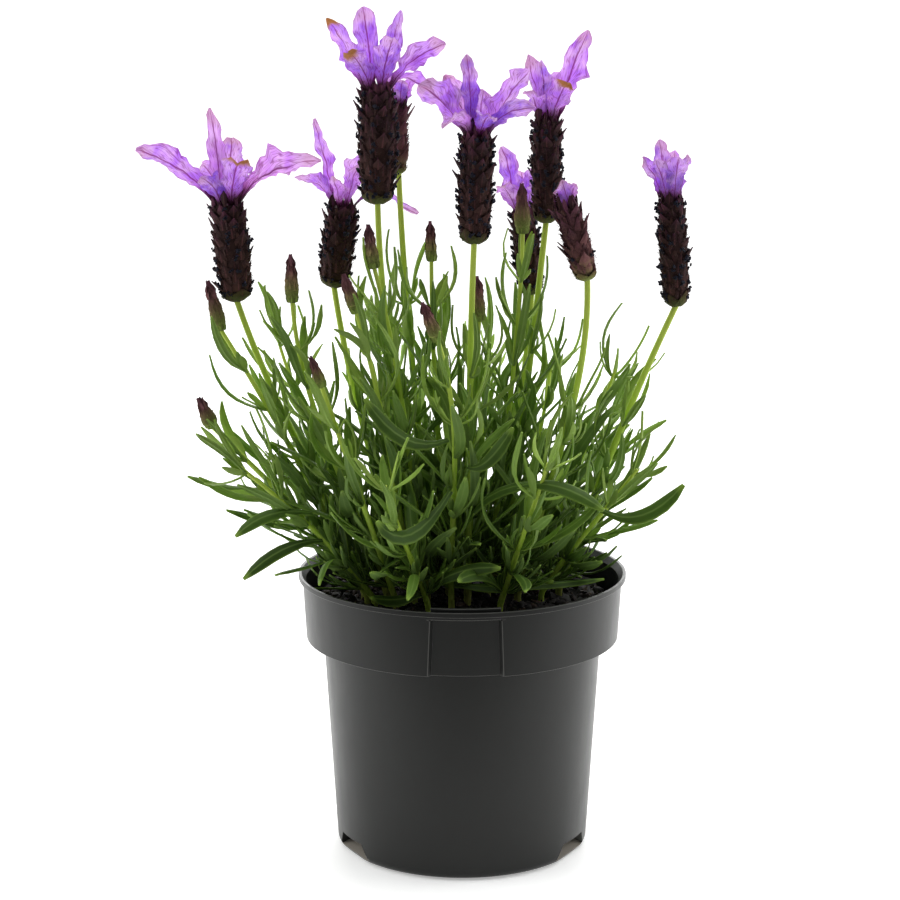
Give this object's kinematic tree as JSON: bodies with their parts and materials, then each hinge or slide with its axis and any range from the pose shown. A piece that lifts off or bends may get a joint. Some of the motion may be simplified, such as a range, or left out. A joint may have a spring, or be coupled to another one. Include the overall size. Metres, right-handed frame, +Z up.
{
  "type": "potted lavender",
  "caption": "Bushy lavender with dark flower spikes, each topped by a tuft of violet bracts, growing in a round plastic nursery pot.",
  "frame": {"origin": "centre of the pot's underside, on the surface it rests on", "axes": "+Z up along the pot's axis, -Y towards the front, where one of the pot's two label recesses is, +X to the right seen from the front"},
  "size_m": [0.2309, 0.1794, 0.358],
  "materials": {
    "pot_plastic": "satin charcoal moulded plastic",
    "soil": "dark moist potting soil",
    "foliage": "green stems and narrow leaves with fine down",
    "flower_spike": "near-black purple-brown woolly scales",
    "bracts": "thin violet veined bracts",
    "buds": "purple-brown closed bud scales"
  },
  "bodies": {
    "root": {"pot": "pot_plastic", "potting_soil": "soil", "flower_shoot_01": "foliage", "flower_shoot_02": "foliage", "flower_shoot_03": "foliage", "flower_shoot_04": "foliage", "flower_shoot_05": "foliage", "flower_shoot_06": "foliage", "flower_shoot_07": "foliage", "flower_shoot_08": "foliage", "flower_shoot_09": "foliage", "flower_spike_01": "flower_spike", "flower_spike_02": "flower_spike", "flower_spike_03": "flower_spike", "flower_spike_04": "flower_spike", "flower_spike_05": "flower_spike", "flower_spike_06": "flower_spike", "flower_spike_07": "flower_spike", "flower_spike_08": "flower_spike", "flower_spike_09": "flower_spike", "bract_tuft_01": "bracts", "bract_tuft_02": "bracts", "bract_tuft_03": "bracts", "bract_tuft_04": "bracts", "bract_tuft_05": "bracts", "bract_tuft_06": "bracts", "bract_tuft_07": "bracts", "bract_tuft_08": "bracts", "bract_tuft_09": "bracts", "bud_shoot_01": "foliage", "bud_shoot_02": "foliage", "bud_shoot_03": "foliage", "bud_shoot_04": "foliage", "bud_shoot_05": "foliage", "bud_shoot_06": "foliage", "bud_shoot_07": "foliage", "bud_shoot_08": "foliage", "bud_shoot_09": "foliage", "bud_shoot_10": "foliage", "bud_01": "buds", "bud_02": "buds", "bud_03": "buds", "bud_04": "buds", "bud_05": "buds", "bud_06": "buds", "bud_07": "buds", "bud_08": "buds", "bud_09": "buds", "bud_10": "buds", "leafy_shoot_01": "foliage", "leafy_shoot_02": "foliage", "leafy_shoot_03": "foliage", "leafy_shoot_04": "foliage", "leafy_shoot_05": "foliage", "leafy_shoot_06": "foliage", "leafy_shoot_07": "foliage", "leafy_shoot_08": "foliage", "leafy_shoot_09": "foliage", "leafy_shoot_10": "foliage", "leafy_shoot_11": "foliage"}
  },
  "joints": []
}
